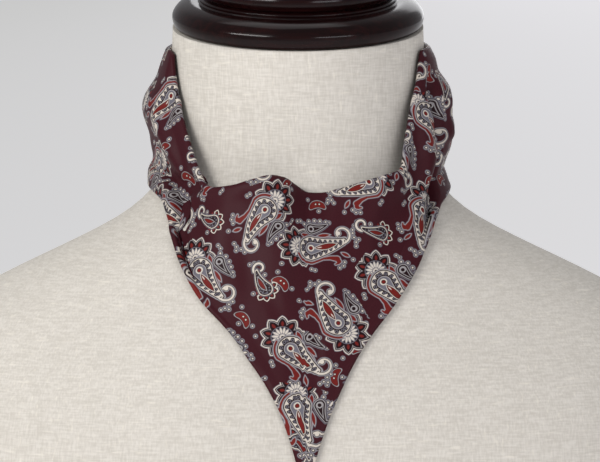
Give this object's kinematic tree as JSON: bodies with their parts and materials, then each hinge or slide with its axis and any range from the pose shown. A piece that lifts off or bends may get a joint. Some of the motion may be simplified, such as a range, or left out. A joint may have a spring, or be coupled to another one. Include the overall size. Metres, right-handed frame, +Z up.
{
  "type": "silk neck scarf on a dress form",
  "caption": "Paisley silk square folded corner to corner round the neck of a linen bust form with a wooden cap, slack across the throat, its point on the chest, knotted at the nape.",
  "frame": {"origin": "middle of the dress form's flat base, under the middle of the neck's cut", "axes": "+Z up, the scarf's point and the front of the chest face -Y, +X to the viewer's right"},
  "size_m": [0.3872, 0.234, 0.5874],
  "materials": {
    "silk": "satin",
    "linen": "matt weave",
    "wood": "dark gloss varnish"
  },
  "bodies": {
    "root": {"dress_form_bust": "linen", "neck_cap": "wood", "front_drape": "silk", "side_band_left": "silk", "side_band_right": "silk", "nape_knot": "silk", "tail_left": "silk", "tail_right": "silk"}
  },
  "joints": []
}
